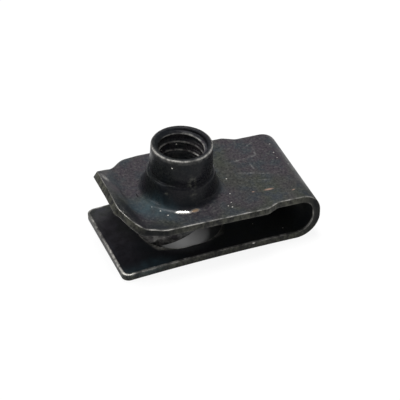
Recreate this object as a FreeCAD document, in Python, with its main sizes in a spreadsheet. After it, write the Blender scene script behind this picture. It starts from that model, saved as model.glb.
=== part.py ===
import FreeCAD, Part
import math
import os

import Sketcher
from FreeCAD import Placement, Rotation, Vector

# Clip-on nut folded from one strip of spring steel. The upper leg carries a drawn
# and threaded barrel and ends in a turned-up lip; the lower leg lies on the
# surface and carries a lanced ring that snaps into the hole of a panel.
# Millimetres and degrees. While it is drawn, x = 0 is where the thread's axis
# meets the surface, +X points to the fold and +Z to the barrel's mouth.

DIMENSIONS = {
    # Folded strip, seen from the side
    "sheet": 1.0,
    "lower_reach": 10.08,
    "fold_reach": 16.84,
    "fold_radius": 3.2,
    "fold_top_radius": 2.75,
    "fold_straight": 0.63,
    "leg_rise": 2.5,
    "arch_height": 0.24,
    "nose_reach": 9.5,
    "lip_angle": 35.0,
    "lip_radius": 2.0,
    "lip_length": 2.8,
    # Outlines of the two legs, seen from above
    "lower_width": 14.4,
    "ear_step": 0.78,
    "nose_width": 8.1,
    "shoulder_reach": 4.9,
    "jog_start": 9.3,
    "jog_run": 1.6,
    "corner_round": 1.0,
    "shoulder_round": 2.2,
    "nose_round": 0.4,
    "jog_round": 1.2,
    # Barrel: heights run along its leaning axis, and radii step out from the bore
    "bore_width": 6.35,
    "barrel_wall": 0.7,
    "cone_height": 2.63,
    "barrel_length": 4.16,
    "mouth_lead": 0.175,
    "mouth_depth": 0.3,
    "flare_lead": 0.4,
    "collar_step": 0.25,
    "collar_drop": 0.15,
    "foot_reach": 1.25,
    "rim_break": 0.15,
    "neck_round": 0.2,
    "foot_round": 0.6,
    "flare_round": 0.5,
    # Raised ring of the lower leg, and the hole round it
    "screw_clearance": 0.325,
    "ring_band": 0.85,
    "ring_clearance": 0.5,
    "hole_to_tip": 0.5,
    "hole_to_fold": 0.9,
    "ring_thinning": 0.1,
    "ring_drop": 0.02,
    "ring_neck": 4.6,
    "ring_root": 1.5,
    "hinge_inset": 0.15,
    "ring_slope": 38.5,
    "ring_root_radius": 1.28,
    "ring_crown_radius": 16.4,
    "ring_ramp": 0.2,
    # Edges of the strip: rounded by the die outside, broken inside
    "edge_round": 0.13,
    "edge_break": 0.2,
}

# How far a cut runs past the material it removes
OVERRUN = 2.0

doc = FreeCAD.newDocument("clip_nut")
sheet = doc.addObject("Spreadsheet::Sheet", "sizes")
for row, (alias, value) in enumerate(DIMENSIONS.items(), start=1):
    sheet.set(f"A{row}", alias)
    sheet.set(f"B{row}", str(value))
    sheet.setAlias(f"B{row}", alias)
doc.recompute()


class Size:
    """A number together with the expression that gives it from the sheet's cells."""

    def __init__(self, value, text):
        self.value = float(value)
        self.text = text

    def __add__(self, other):
        other = plain(other)
        return Size(self.value + other.value, f"({self.text} + {other.text})")

    def __sub__(self, other):
        other = plain(other)
        return Size(self.value - other.value, f"({self.text} - {other.text})")

    def __mul__(self, other):
        other = plain(other)
        return Size(self.value * other.value, f"({self.text} * {other.text})")

    def __truediv__(self, other):
        other = plain(other)
        return Size(self.value / other.value, f"({self.text} / {other.text})")

    def __neg__(self):
        return Size(-self.value, f"(0 - {self.text})")


def plain(number):
    """Wraps a bare number, and lets a Size through."""
    return number if isinstance(number, Size) else Size(number, repr(float(number)))


def size(alias):
    """The named dimension from the sheet."""
    return Size(DIMENSIONS[alias], f"{sheet.Name}.{alias}")


def sine(alias):
    """The sine of a named angle."""
    return Size(math.sin(radians(alias)), f"sin({sheet.Name}.{alias} * 1deg)")


def cosine(alias):
    """The cosine of a named angle."""
    return Size(math.cos(radians(alias)), f"cos({sheet.Name}.{alias} * 1deg)")


def radians(alias):
    """The named angle of the sheet, in radians."""
    return math.radians(DIMENSIONS[alias])


# Shared dimensions

thickness = size("sheet")
half_lower = size("lower_width") / 2
half_ear = half_lower + size("ear_step")
half_nose = size("nose_width") / 2
jog_end = size("jog_start") + size("jog_run")
fold_radius = size("fold_radius")
fold_top_radius = size("fold_top_radius")
# Height of the upper leg's two faces along the barrel's axis, which stands square to them
leg_top = (
    (size("fold_reach") - fold_top_radius) * sine("leg_rise")
    + (fold_radius + size("fold_straight")) * cosine("leg_rise")
    + fold_top_radius
)
leg_bottom = leg_top - thickness

# The barrel stands on the leg's top, and its wall and foot lie round the bore
bore_radius = size("bore_width") / 2
mouth_radius = bore_radius + size("mouth_lead")
barrel_radius = bore_radius + size("barrel_wall")
collar_radius = barrel_radius + size("collar_step")
foot_radius = barrel_radius + size("foot_reach")
flare_radius = foot_radius - thickness
collar_height = leg_top + size("cone_height")
barrel_height = collar_height + size("barrel_length")
thread_start = collar_height - size("flare_lead")

# The ring clears the screw, and the hole clears the ring
ring_bore = bore_radius + size("screw_clearance")
ring_radius = ring_bore + size("ring_band")
hole_radius = ring_radius + size("ring_clearance")
half_neck = size("ring_neck") / 2
ring_hinge = ring_radius - size("hinge_inset")
ring_base = size("arch_height") - size("ring_drop")
ring_sheet = thickness - size("ring_thinning")


# Sketch helpers

def sketch_on(body, role, name, height=None, lean=None):
    """A sketch on one of the body's origin planes, lifted by a height or turned by an angle."""
    drawing = body.newObject("Sketcher::SketchObject", name)
    plane = next(f for f in body.Origin.OriginFeatures if f.Role == role)
    drawing.AttachmentSupport = [(plane, "")]
    drawing.MapMode = "FlatFace"
    if height is not None:
        drawing.AttachmentOffset = Placement(Vector(0, 0, height.value), Rotation())
        drawing.setExpression("AttachmentOffset.Base.z", height.text)
    if lean is not None:
        drawing.AttachmentOffset = Placement(Vector(), Rotation(Vector(0, 0, 1), lean.value))
        drawing.setExpression("AttachmentOffset.Rotation.Angle", lean.text)
    return drawing


def bind(drawing, constraint, amount, angle=False):
    """Adds a constraint whose value follows the sheet."""
    number = math.radians(amount.value) if angle else amount.value
    index = drawing.addConstraint(Sketcher.Constraint(*constraint, number))
    text = f"{amount.text} * 1deg" if angle else amount.text
    drawing.setExpression(f"Constraints[{index}]", text)


def place_point(drawing, geometry, end, x=None, y=None):
    """Holds a point of a curve at a distance from the sketch's origin."""
    if x is not None:
        bind(drawing, ("DistanceX", -1, 1, geometry, end), x)
    if y is not None:
        bind(drawing, ("DistanceY", -1, 1, geometry, end), y)


def polygon(drawing, corners):
    """A closed outline of straight sides, each corner held at its own place."""
    count = len(corners)
    spots = [Vector(x.value, y.value, 0) for x, y in corners]
    first = drawing.GeometryCount
    for i in range(count):
        drawing.addGeometry(Part.LineSegment(spots[i], spots[(i + 1) % count]))
    for i in range(count):
        after = first + (i + 1) % count
        drawing.addConstraint(Sketcher.Constraint("Coincident", first + i, 2, after, 1))
    for i, (x, y) in enumerate(corners):
        place_point(drawing, first + i, 1, x, y)


def mirrored(corners):
    """The same outline on the other side of the X axis."""
    return [(x, -y) for x, y in corners]


def walk(start, heading, steps, offset):
    """Points and centres of a path of tangent lines and arcs, shifted to its left by an offset.

    A step is ("line", length) or ("arc", radius, turn), turns in radians and positive
    to the left. Each result holds the step's kind, two ends, centre and radius.
    """
    spot = Vector(start[0], start[1], 0)
    pieces = []
    for step in steps:
        ahead = Vector(math.cos(heading), math.sin(heading), 0)
        left = Vector(-ahead.y, ahead.x, 0)
        begin = spot + left * offset
        if step[0] == "line":
            spot = spot + ahead * step[1]
            pieces.append(("line", begin, spot + left * offset, None, None))
            continue
        side = math.copysign(1.0, step[2])
        centre = spot + left * (side * step[1])
        heading += step[2]
        left = Vector(-math.sin(heading), math.cos(heading), 0)
        spot = centre - left * (side * step[1])
        pieces.append(("arc", begin, spot + left * offset, centre, step[1] - side * offset))
        if side < 0:
            pieces[-1] = ("arc back", *pieces[-1][1:])
    return pieces


def draw_path(drawing, pieces):
    """Draws a walked path and ties its pieces end to end. Gives each piece's index and ends."""
    drawn = []
    for kind, begin, end, centre, radius in pieces:
        if kind == "line":
            index = drawing.addGeometry(Part.LineSegment(begin, end))
            drawn.append((index, 1, 2))
            continue
        low, high = (begin, end) if kind == "arc" else (end, begin)
        angles = [math.atan2(p.y - centre.y, p.x - centre.x) for p in (low, high)]
        circle = Part.Circle(centre, Vector(0, 0, 1), radius)
        index = drawing.addGeometry(Part.ArcOfCircle(circle, angles[0], angles[1]))
        drawn.append((index, 1, 2) if kind == "arc" else (index, 2, 1))
    for (one, _, tail), (other, head, _) in zip(drawn, drawn[1:]):
        drawing.addConstraint(Sketcher.Constraint("Tangent", one, tail, other, head))
    return drawn


def join(drawing, one, other):
    """A straight end cap between the free ends of two paths."""
    spots = [drawing.getPoint(*one), drawing.getPoint(*other)]
    cap = drawing.addGeometry(Part.LineSegment(*spots))
    drawing.addConstraint(Sketcher.Constraint("Coincident", cap, 1, *one))
    drawing.addConstraint(Sketcher.Constraint("Coincident", cap, 2, *other))
    return cap


def relate(drawing, kind, *items):
    """A geometric constraint with no value."""
    drawing.addConstraint(Sketcher.Constraint(kind, *items))


def top_of_circle(centre, radius, x):
    """The upper point of a circle at a given x."""
    return Vector(x, centre.y + math.sqrt(radius * radius - (x - centre.x) ** 2), 0)


# Folded strip

def arch_circle():
    """Radius and centre of the lower leg's underside.

    The underside is one long arc. It starts on the surface at the free end and
    runs into the circle of the fold, which touches the surface as well.
    """
    free_end = Vector(-DIMENSIONS["lower_reach"], 0, 0)
    fold = Vector(DIMENSIONS["fold_reach"] - fold_radius.value, fold_radius.value, 0)
    height = DIMENSIONS["arch_height"]
    radius = (fold.x - free_end.x) ** 2 / (8 * height) + height / 2
    # One radius from the free end, and one radius and the fold's from the fold's centre
    reach = fold - free_end
    span = reach.Length
    far = radius + fold_radius.value
    along = (span * span + radius * radius - far * far) / (2 * span)
    across = math.sqrt(radius * radius - along * along)
    unit = reach / span
    return radius, free_end + unit * along + Vector(unit.y, -unit.x, 0) * across


def side_profile(body):
    """The folded strip seen from the side: an outer and an inner path one sheet apart."""
    drawing = sketch_on(body, "XZ_Plane", "side_profile")
    radius, centre = arch_circle()
    rise = radians("leg_rise")
    lip = radians("lip_angle")
    bend = fold_radius.value
    top_bend = fold_top_radius.value
    lip_bend = DIMENSIONS["lip_radius"]
    free_end = (-DIMENSIONS["lower_reach"], 0)
    fold_x = DIMENSIONS["fold_reach"] - bend
    slope_up = math.asin((centre.x - free_end[0]) / radius)
    slope_down = math.asin((fold_x - centre.x) / (radius + bend))
    lip_run = DIMENSIONS["lip_length"] * math.cos(lip) + lip_bend * (math.sin(lip) - math.sin(rise))
    top_x = DIMENSIONS["fold_reach"] - top_bend * (1 - math.sin(rise))
    leg = (top_x + DIMENSIONS["nose_reach"] - lip_run) / math.cos(rise)
    steps = [
        ("arc", radius, -(slope_up + slope_down)),
        ("arc", bend, math.pi / 2 + slope_down),
        ("line", DIMENSIONS["fold_straight"]),
        ("arc", top_bend, math.pi / 2 - rise),
        ("line", leg),
        ("arc", lip_bend, -(lip - rise)),
        ("line", DIMENSIONS["lip_length"]),
    ]
    outer_pieces = walk(free_end, slope_up, steps, 0)
    inner_pieces = walk(free_end, slope_up, steps, thickness.value)
    # The free end is cut square to the surface
    kind, _, end, middle, wide = inner_pieces[0]
    corner = top_of_circle(middle, wide, free_end[0])
    inner_pieces[0] = (kind, corner, end, middle, wide)
    outer = draw_path(drawing, outer_pieces)
    inner = draw_path(drawing, inner_pieces)
    toe = join(drawing, outer[0][:2], inner[0][:2])
    tip = join(drawing, outer[-1][::2], inner[-1][::2])

    chord = size("fold_reach") - fold_radius + size("lower_reach")
    arch_radius = chord * chord / (size("arch_height") * 8) + size("arch_height") / 2
    arch, lower_bend, back, upper_bend, top, lip_arc, lip_line = [piece[0] for piece in outer]
    relate(drawing, "PointOnObject", *outer[0][:2], -1)
    place_point(drawing, *outer[0][:2], x=-size("lower_reach"))
    bind(drawing, ("Radius", arch), arch_radius)
    bind(drawing, ("Radius", lower_bend), fold_radius)
    place_point(drawing, lower_bend, 3, y=fold_radius)
    relate(drawing, "Vertical", back)
    place_point(drawing, back, 1, x=size("fold_reach"))
    bind(drawing, ("Distance", back), size("fold_straight"))
    bind(drawing, ("Radius", upper_bend), fold_top_radius)
    bind(drawing, ("Angle", top), plain(180) - size("leg_rise"), angle=True)
    bind(drawing, ("Radius", lip_arc), size("lip_radius"))
    bind(drawing, ("Angle", lip_line), plain(180) - size("lip_angle"), angle=True)
    bind(drawing, ("Distance", lip_line), size("lip_length"))
    place_point(drawing, lip_line, 2, x=-size("nose_reach"))

    # The inner path follows the outer one at the sheet's thickness
    for piece, one, other in zip(outer_pieces, outer, inner):
        if piece[0] != "line":
            relate(drawing, "Coincident", one[0], 3, other[0], 3)
    bind(drawing, ("Radius", inner[0][0]), arch_radius + thickness)
    relate(drawing, "Vertical", toe)
    relate(drawing, "Vertical", inner[2][0])
    relate(drawing, "Parallel", top, inner[4][0])
    relate(drawing, "Parallel", lip_line, inner[6][0])
    relate(drawing, "Perpendicular", lip_line, tip)
    return drawing


# Outlines of the two legs

def upper_trims(drawing):
    """Material outside the upper leg: beside the tapered nose, and beside the narrower fold."""
    outside = half_ear + OVERRUN
    nose_end = -size("nose_reach")
    shoulder = -size("shoulder_reach")
    taper = (half_ear - half_nose) / (shoulder - nose_end)
    beyond = nose_end - OVERRUN
    behind = size("fold_reach") + OVERRUN
    nose = [
        (beyond, half_nose - taper * OVERRUN),
        (shoulder, half_ear),
        (shoulder, outside),
        (beyond, outside),
    ]
    fold = [
        (size("jog_start"), half_ear),
        (jog_end, half_lower),
        (behind, half_lower),
        (behind, outside),
        (size("jog_start"), outside),
    ]
    for outline in (nose, fold):
        polygon(drawing, outline)
        polygon(drawing, mirrored(outline))


def lower_trims(drawing):
    """Material outside the lower leg, which is as wide as the fold."""
    outside = half_ear + OVERRUN
    beyond = -size("lower_reach") - OVERRUN
    behind = size("fold_reach") + OVERRUN
    side = [(beyond, half_lower), (behind, half_lower), (behind, outside), (beyond, outside)]
    polygon(drawing, side)
    polygon(drawing, mirrored(side))


# Barrel, drawn in its own leaning frame: x is the radius and y the height

def barrel_profile(drawing):
    """Outside of the barrel, its small collar and the cone that flares into the leg."""
    axis = plain(0)
    root = leg_top - thickness / 2
    polygon(drawing, [
        (axis, root),
        (foot_radius, root),
        (foot_radius, leg_top),
        (collar_radius, collar_height - size("collar_drop")),
        (barrel_radius, collar_height),
        (barrel_radius, barrel_height),
        (axis, barrel_height),
    ])


def hollow_profile(drawing):
    """Inside of the barrel: the flare left by drawing it, the bore and the wider mouth."""
    axis = plain(0)
    above = barrel_height + OVERRUN
    polygon(drawing, [
        (axis, leg_bottom - thickness),
        (flare_radius, leg_bottom - thickness),
        (flare_radius, leg_bottom),
        (bore_radius, thread_start),
        (bore_radius, barrel_height - size("mouth_depth")),
        (mouth_radius, barrel_height),
        (mouth_radius, above),
        (axis, above),
    ])


# Hole of the lower leg and the ring lanced from it

def arc_between(drawing, centre, radius, start, end):
    """An arc drawn counterclockwise, with its centre and radius held."""
    angles = [math.atan2(p[1] - centre[1].value, p[0] - centre[0].value) for p in (start, end)]
    middle = Vector(centre[0].value, centre[1].value, 0)
    circle = Part.Circle(middle, Vector(0, 0, 1), radius.value)
    index = drawing.addGeometry(Part.ArcOfCircle(circle, *angles))
    place_point(drawing, index, 3, x=centre[0])
    relate(drawing, "PointOnObject", index, 3, -1)
    bind(drawing, ("Radius", index), radius)
    return index


def hole_outline(drawing):
    """The hole of the lower leg: a circle stretched a little along the leg."""
    wide = hole_radius.value
    tip = (-size("hole_to_tip"), plain(0))
    back = (size("hole_to_fold"), plain(0))
    ends = [(centre[0].value, side) for centre in (back, tip) for side in (-wide, wide)]
    fold_arc = arc_between(drawing, back, hole_radius, ends[0], ends[1])
    tip_arc = arc_between(drawing, tip, hole_radius, ends[3], ends[2])
    for (start, one), (stop, other) in (((1, 2), (3, 1)), ((0, 1), (2, 2))):
        line = Part.LineSegment(Vector(*ends[start], 0), Vector(*ends[stop], 0))
        side = drawing.addGeometry(line)
        relate(drawing, "Tangent", fold_arc, one, side, 1)
        relate(drawing, "Tangent", side, 2, tip_arc, other)


def ring_plan(drawing):
    """A frame with the outline of the ring and its neck left standing inside it."""
    far = ring_radius + OVERRUN
    root = -ring_hinge - size("ring_root") - OVERRUN
    frame = root - OVERRUN
    wide = far + OVERRUN
    polygon(drawing, [(frame, -wide), (wide, -wide), (wide, wide), (frame, wide)])
    neck = half_neck.value
    inner_x = -math.sqrt(ring_radius.value ** 2 - neck ** 2)
    circle = Part.Circle(Vector(), Vector(0, 0, 1), ring_radius.value)
    turn = math.atan2(neck, inner_x)
    ring = drawing.addGeometry(Part.ArcOfCircle(circle, -turn, turn))
    relate(drawing, "Coincident", ring, 3, -1, 1)
    bind(drawing, ("Radius", ring), ring_radius)
    outline = [(inner_x, neck), (root.value, neck), (root.value, -neck), (inner_x, -neck)]
    spots = [Vector(x, y, 0) for x, y in outline]
    upper, back, lower = [
        drawing.addGeometry(Part.LineSegment(*pair)) for pair in zip(spots, spots[1:])
    ]
    relate(drawing, "Coincident", ring, 2, upper, 1)
    relate(drawing, "Coincident", upper, 2, back, 1)
    relate(drawing, "Coincident", back, 2, lower, 1)
    relate(drawing, "Coincident", lower, 2, ring, 1)
    relate(drawing, "Horizontal", upper)
    relate(drawing, "Horizontal", lower)
    place_point(drawing, upper, 2, root, half_neck)
    place_point(drawing, back, 2, root, -half_neck)


def ring_profile(drawing):
    """The raised ring seen from the side: out of the leg, up a short ramp and flatter again."""
    slope = radians("ring_slope")
    root_bend = DIMENSIONS["ring_root_radius"]
    crown = DIMENSIONS["ring_crown_radius"]
    crown_start = (
        -ring_hinge.value + root_bend * math.sin(slope) + DIMENSIONS["ring_ramp"] * math.cos(slope)
    )
    ring_end = ring_radius + OVERRUN
    end_slope = math.asin(math.sin(slope) - (ring_end.value - crown_start) / crown)
    steps = [
        ("line", DIMENSIONS["ring_root"]),
        ("arc", root_bend, slope),
        ("line", DIMENSIONS["ring_ramp"]),
        ("arc", crown, end_slope - slope),
    ]
    root_x = -ring_hinge - size("ring_root")
    start = (root_x.value, ring_base.value)
    lower_pieces = walk(start, 0, steps, 0)
    upper_pieces = walk(start, 0, steps, ring_sheet.value)
    # The ring's strip ends upright, beyond its outline
    kind, begin, _, middle, wide = upper_pieces[-1]
    corner = top_of_circle(middle, wide, ring_end.value)
    upper_pieces[-1] = (kind, begin, corner, middle, wide)
    below = draw_path(drawing, lower_pieces)
    above = draw_path(drawing, upper_pieces)
    root = join(drawing, below[0][:2], above[0][:2])
    end = join(drawing, below[-1][::2], above[-1][::2])

    level, bend, ramp, arc = [piece[0] for piece in below]
    place_point(drawing, *below[0][:2], root_x, ring_base)
    relate(drawing, "Horizontal", level)
    bind(drawing, ("Distance", level), size("ring_root"))
    bind(drawing, ("Radius", bend), size("ring_root_radius"))
    bind(drawing, ("Angle", ramp), size("ring_slope"), angle=True)
    bind(drawing, ("Distance", ramp), size("ring_ramp"))
    bind(drawing, ("Radius", arc), size("ring_crown_radius"))
    place_point(drawing, *below[-1][::2], x=ring_end)
    for one, other in zip(below[1::2], above[1::2]):
        relate(drawing, "Coincident", one[0], 3, other[0], 3)
    relate(drawing, "Horizontal", above[0][0])
    relate(drawing, "Vertical", root)
    bind(drawing, ("Distance", root), ring_sheet)
    relate(drawing, "Parallel", ramp, above[2][0])
    relate(drawing, "Vertical", end)


def ring_hole(drawing):
    """The hole that clears the screw."""
    circle = Part.Circle(Vector(), Vector(0, 0, 1), ring_bore.value)
    index = drawing.addGeometry(circle)
    relate(drawing, "Coincident", index, 3, -1, 1)
    bind(drawing, ("Radius", index), ring_bore)


# Features

def expect(feature, change):
    """Recomputes, and makes sure that the feature is sound and changed the volume its way."""
    before = feature.BaseFeature.Shape.Volume if feature.BaseFeature else 0
    doc.recompute()
    faulty = [state for state in feature.State if state in ("Invalid", "Error")]
    if faulty or feature.Shape.isNull() or not feature.Shape.isValid():
        raise RuntimeError(f"{feature.Name} failed: {feature.State}")
    if (feature.Shape.Volume - before) * change <= 0:
        raise RuntimeError(f"{feature.Name} changed nothing: {feature.Shape.Volume - before}")
    return feature


def padded(body, name, drawing, width):
    """Material on both sides of a side profile."""
    feature = body.newObject("PartDesign::Pad", name)
    feature.Profile = drawing
    feature.Midplane = True
    feature.Length = width.value
    feature.setExpression("Length", width.text)
    return expect(feature, 1)


def pocketed(body, name, drawing, depth, upwards=True):
    """A cut of a given depth, up or down from the drawing."""
    feature = body.newObject("PartDesign::Pocket", name)
    feature.Profile = drawing
    feature.Length = depth.value
    feature.setExpression("Length", depth.text)
    feature.Reversed = upwards
    return expect(feature, -1)


def revolved(body, kind, name, drawing, change):
    """A full turn of a profile about the vertical axis of its sketch."""
    feature = body.newObject(f"PartDesign::{kind}", name)
    feature.Profile = drawing
    feature.ReferenceAxis = (drawing, ["V_Axis"])
    feature.Angle = 360
    return expect(feature, change)


def finished(body, kind, name, base, edges, amount):
    """Rounds or breaks the numbered edges of a feature."""
    feature = body.newObject(f"PartDesign::{kind}", name)
    feature.Base = (base, [f"Edge{number}" for number in edges])
    held = {"Fillet": "Radius", "Chamfer": "Size"}[kind]
    setattr(feature, held, amount.value)
    feature.setExpression(held, amount.text)
    doc.recompute()
    if "Invalid" in feature.State or not feature.Shape.isValid():
        raise RuntimeError(f"{feature.Name} failed: {feature.State}")
    return feature


# Edges to round, found by where they lie

TOLERANCE = 0.01


def upright_edges(shape, x, y, low, high):
    """Edges between two heights that lie near a given spot of the plan, on both sides of the axis."""
    found = []
    for number, edge in enumerate(shape.Edges, start=1):
        ends = [vertex.Point for vertex in edge.Vertexes]
        near = all(math.hypot(p.x - x, abs(p.y) - y) < thickness.value for p in ends)
        if near and low < min(p.z for p in ends) and max(p.z for p in ends) < high:
            drop = abs(ends[0].z - ends[-1].z)
            if len(ends) == 2 and drop > thickness.value / 2:
                found.append(number)
    return found


def long_edges(shape, side, height):
    """The long straight edges at one side of the upper leg, on one of its faces."""
    found = []
    for number, edge in enumerate(shape.Edges, start=1):
        ends = [vertex.Point for vertex in edge.Vertexes]
        if len(ends) != 2 or any(abs(p.y + side) > TOLERANCE for p in ends):
            continue
        lean = radians("leg_rise")
        levels = [p.x * math.sin(lean) + p.z * math.cos(lean) for p in ends]
        if all(abs(level - height) < TOLERANCE for level in levels):
            found.append(number)
    return found


def circles(shape, radius, height):
    """Circular edges of the barrel, by radius and by height along its axis."""
    found = []
    for number, edge in enumerate(shape.Edges, start=1):
        curve = edge.Curve
        if not isinstance(curve, Part.Circle) or abs(curve.Radius - radius.value) > TOLERANCE:
            continue
        lean = radians("leg_rise")
        level = curve.Center.x * math.sin(lean) + curve.Center.z * math.cos(lean)
        if abs(level - height.value) < TOLERANCE:
            found.append(number)
    return found


# Ring, drawn by itself and then joined to the leg that it is lanced from

ring_body = doc.addObject("PartDesign::Body", "snap_ring")
ring_side = sketch_on(ring_body, "XZ_Plane", "ring_side")
ring_profile(ring_side)
padded(ring_body, "ring_strip", ring_side, (ring_radius + OVERRUN) * 2)
ring_outline = sketch_on(ring_body, "XY_Plane", "ring_outline")
ring_plan(ring_outline)
full_reach = barrel_height + OVERRUN
pocketed(ring_body, "ring_blank", ring_outline, full_reach)
ring_inside = sketch_on(ring_body, "XY_Plane", "ring_inside")
ring_hole(ring_inside)
pocketed(ring_body, "ring_hole", ring_inside, full_reach)

# Folded strip and its two outlines

body = doc.addObject("PartDesign::Body", "clip_nut")
body.Label = "clip_nut"
gap_middle = fold_radius + size("fold_straight") / 2

padded(body, "folded_strip", side_profile(body), half_ear * 2)
upper_plan = sketch_on(body, "XY_Plane", "upper_outline", height=gap_middle)
upper_trims(upper_plan)
pocketed(body, "upper_leg_outline", upper_plan, full_reach)
lower_plan = sketch_on(body, "XY_Plane", "lower_outline", height=gap_middle)
lower_trims(lower_plan)
feature = pocketed(body, "lower_leg_outline", lower_plan, full_reach, upwards=False)

# Corners of the outlines, each on both sides
low = -OVERRUN
middle = gap_middle.value
high = full_reach.value
corners = (
    ("toes", "corner_round", -DIMENSIONS["lower_reach"], half_lower, low, middle),
    ("shoulders", "shoulder_round", -DIMENSIONS["shoulder_reach"], half_ear, middle, high),
    ("nose_corners", "nose_round", -DIMENSIONS["nose_reach"], half_nose, middle, high),
    ("ear_ends", "jog_round", DIMENSIONS["jog_start"], half_ear, middle, high),
    ("fold_starts", "jog_round", jog_end.value, half_lower, middle, high),
)
for name, radius, x, y, above, below in corners:
    edges = upright_edges(feature.Shape, x, y.value, above, below)
    feature = finished(body, "Fillet", name, feature, edges, size(radius))

hole_drawing = sketch_on(body, "XY_Plane", "lower_hole_outline")
hole_outline(hole_drawing)
feature = pocketed(body, "lower_hole", hole_drawing, thickness * 2)

# Edges of the strip's outer and inner face: each chain runs all round it
sides = (
    ("outer_edges", "Fillet", "edge_round", leg_top),
    ("inner_edges", "Chamfer", "edge_break", leg_bottom),
)
for name, kind, amount, level in sides:
    chain = long_edges(feature.Shape, half_ear.value, level.value)
    feature = finished(body, kind, name, feature, chain, size(amount))

# Barrel, its hollow and their roundings
barrel_drawing = sketch_on(body, "XZ_Plane", "barrel_outside", lean=-size("leg_rise"))
barrel_profile(barrel_drawing)
revolved(body, "Revolution", "barrel", barrel_drawing, 1)
hollow_drawing = sketch_on(body, "XZ_Plane", "barrel_inside", lean=-size("leg_rise"))
hollow_profile(hollow_drawing)
feature = revolved(body, "Groove", "barrel_hollow", hollow_drawing, -1)
rings = (
    ("rim", "Chamfer", "rim_break", barrel_radius, barrel_height),
    ("neck", "Fillet", "neck_round", barrel_radius, collar_height),
    ("foot", "Fillet", "foot_round", foot_radius, leg_top),
    ("flare", "Fillet", "flare_round", flare_radius, leg_bottom),
)
for name, kind, amount, reach, level in rings:
    edges = circles(feature.Shape, reach, level)
    feature = finished(body, kind, name, feature, edges, size(amount))

joined = body.newObject("PartDesign::Boolean", "ring_joined")
joined.Type = "Fuse"
joined.setObjects([ring_body])
expect(joined, 1)

# The origin lies on the surface, under the middle of the whole piece
middle = (size("fold_reach") - size("lower_reach")) / 2
body.Placement = Placement(Vector(-middle.value, 0, 0), Rotation())
body.setExpression("Placement.Base.x", (-middle).text)
doc.recompute()

for item in doc.Objects:
    if any(state in ("Invalid", "Error") for state in item.State):
        raise RuntimeError(f"{item.Name} is not sound: {item.State}")
if body.Shape.isNull() or not body.Shape.isValid() or len(body.Shape.Solids) != 1:
    raise RuntimeError("the nut is not one valid solid")
os.makedirs("parts", exist_ok=True)
body.Shape.exportStep(f"parts/{body.Label}.step")
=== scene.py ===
import math

import bmesh
import bpy
import numpy as np
from mathutils import Matrix, Vector


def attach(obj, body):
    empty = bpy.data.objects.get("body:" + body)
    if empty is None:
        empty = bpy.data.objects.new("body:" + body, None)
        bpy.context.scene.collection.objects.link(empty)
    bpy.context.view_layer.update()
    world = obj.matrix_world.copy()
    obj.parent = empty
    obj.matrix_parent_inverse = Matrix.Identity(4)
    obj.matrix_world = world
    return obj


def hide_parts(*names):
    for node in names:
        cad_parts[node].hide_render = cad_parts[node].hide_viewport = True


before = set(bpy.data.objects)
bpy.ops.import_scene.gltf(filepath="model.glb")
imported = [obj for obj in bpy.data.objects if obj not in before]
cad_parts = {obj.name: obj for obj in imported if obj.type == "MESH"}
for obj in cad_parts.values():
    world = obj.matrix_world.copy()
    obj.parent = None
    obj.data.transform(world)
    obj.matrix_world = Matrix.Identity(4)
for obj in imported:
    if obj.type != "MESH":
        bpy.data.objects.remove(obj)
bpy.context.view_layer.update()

# The folded strip. The real piece is one blank of spring steel, blanked to its
# outline and folded into a U: the lower leg lies on the surface, the upper leg
# leans over it and ends in a lip that is turned up.
SHEET = 1.0  # millimetres, as every length up to the weld
LEG_LEAN = math.radians(2.5)
LOWER_REACH = 10.08
FOLD_REACH = 16.84
FOLD_RADIUS = 3.2
FOLD_TOP_RADIUS = 2.75
FOLD_STRAIGHT = 0.63
ARCH_HEIGHT = 0.24
LIP_REACH = 9.5
LIP_ANGLE = math.radians(35)
LIP_RADIUS = 2.0
LIP_LENGTH = 2.8
LOWER_HALF = 7.2
EAR_HALF = 7.98
NOSE_HALF = 4.05
EDGE_ROLL = 0.13
ROLL_ACROSS = 0.34
ROLL_DEPTH = 0.11
# A step with less curvature than this is a straight line
STRAIGHT = 1e-12


def walked_path(start, heading, steps):
    """A side view as arcs and lines, each with its start, heading and curvature.

    A step is (length, turn). A turn of zero is a straight line, and otherwise the
    curvature is the turn divided by the length.
    """
    spot = np.array(start, float)
    rows = []
    gone = 0.0
    for length, turn in steps:
        curve = turn / length
        rows.append((gone, *spot, heading, curve))
        if abs(curve) < STRAIGHT:
            spot = spot + length * np.array([math.cos(heading), math.sin(heading)])
        else:
            across = math.sin(heading + turn) - math.sin(heading)
            climbed = math.cos(heading) - math.cos(heading + turn)
            spot = spot + np.array([across, climbed]) / curve
        heading += turn
        gone += length
    return np.array(rows), gone


# The lower leg is a flat arch: a large circle through the toe that touches the
# fold's circle from outside
fold_x = FOLD_REACH - FOLD_RADIUS
arch_radius = (fold_x + LOWER_REACH) ** 2 / (8 * ARCH_HEIGHT) + ARCH_HEIGHT / 2
to_fold = np.array([fold_x + LOWER_REACH, FOLD_RADIUS])
span = np.hypot(*to_fold)
along = (span ** 2 + arch_radius ** 2 - (arch_radius + FOLD_RADIUS) ** 2) / (2 * span)
across = math.sqrt(arch_radius ** 2 - along ** 2)
arch_x = -LOWER_REACH + (to_fold[0] * along + to_fold[1] * across) / span
slope_up = math.asin((arch_x + LOWER_REACH) / arch_radius)
slope_down = math.asin((fold_x - arch_x) / (arch_radius + FOLD_RADIUS))
lip_run = LIP_LENGTH * math.cos(LIP_ANGLE) + LIP_RADIUS * (math.sin(LIP_ANGLE) - math.sin(LEG_LEAN))
fold_top_x = FOLD_REACH - FOLD_TOP_RADIUS * (1 - math.sin(LEG_LEAN))
leg_length = (fold_top_x + LIP_REACH - lip_run) / math.cos(LEG_LEAN)
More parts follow.
